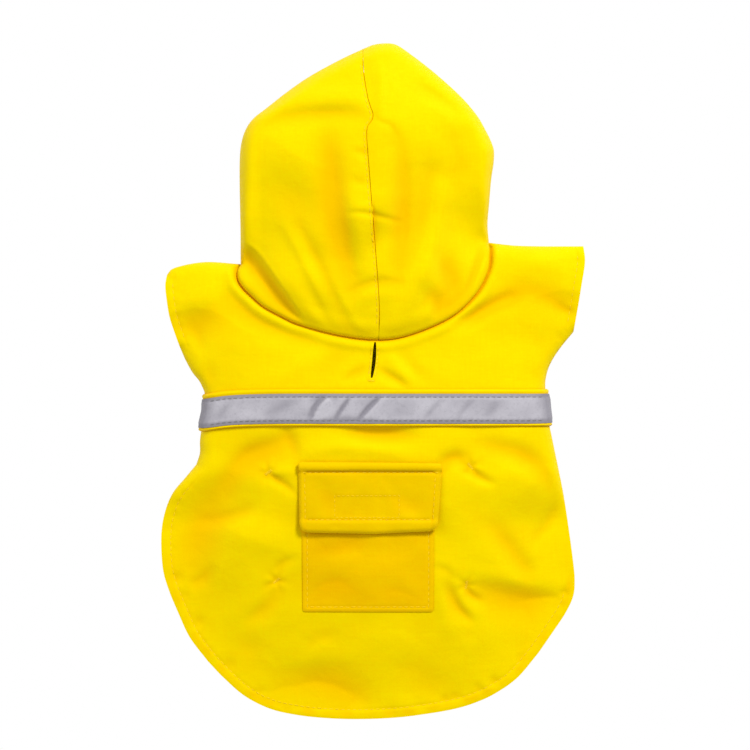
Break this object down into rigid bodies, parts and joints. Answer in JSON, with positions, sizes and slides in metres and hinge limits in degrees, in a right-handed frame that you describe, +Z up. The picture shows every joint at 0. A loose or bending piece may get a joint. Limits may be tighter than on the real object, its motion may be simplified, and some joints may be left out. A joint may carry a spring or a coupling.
{
  "type": "hooded dog raincoat",
  "caption": "Hooded dog raincoat laid flat with its back up, with cap sleeves, a reflective band, a leash slit and a flapped back pocket.",
  "frame": {"origin": "under the middle of the outline's box, on the surface that the coat lies on", "axes": "+Z up out of the coat's back, +Y towards the hood, +X to the right as seen from above"},
  "size_m": [0.296, 0.472, 0.0397],
  "materials": {
    "yellow_cloth": "coated, semi-matte",
    "pocket_cloth": "coated, semi-matte",
    "grey_tape": "glass-beaded, satin",
    "hook_and_loop": "matte pile"
  },
  "bodies": {
    "root": {"hood_left": "yellow_cloth", "hood_right": "yellow_cloth", "yoke": "yellow_cloth", "back_panel": "yellow_cloth", "front_left": "yellow_cloth", "front_right": "yellow_cloth", "stripe_band": "yellow_cloth", "pocket_flap": "yellow_cloth", "pocket": "pocket_cloth", "reflective_tape": "grey_tape", "closure_hook": "hook_and_loop", "closure_loop": "hook_and_loop"}
  },
  "joints": []
}
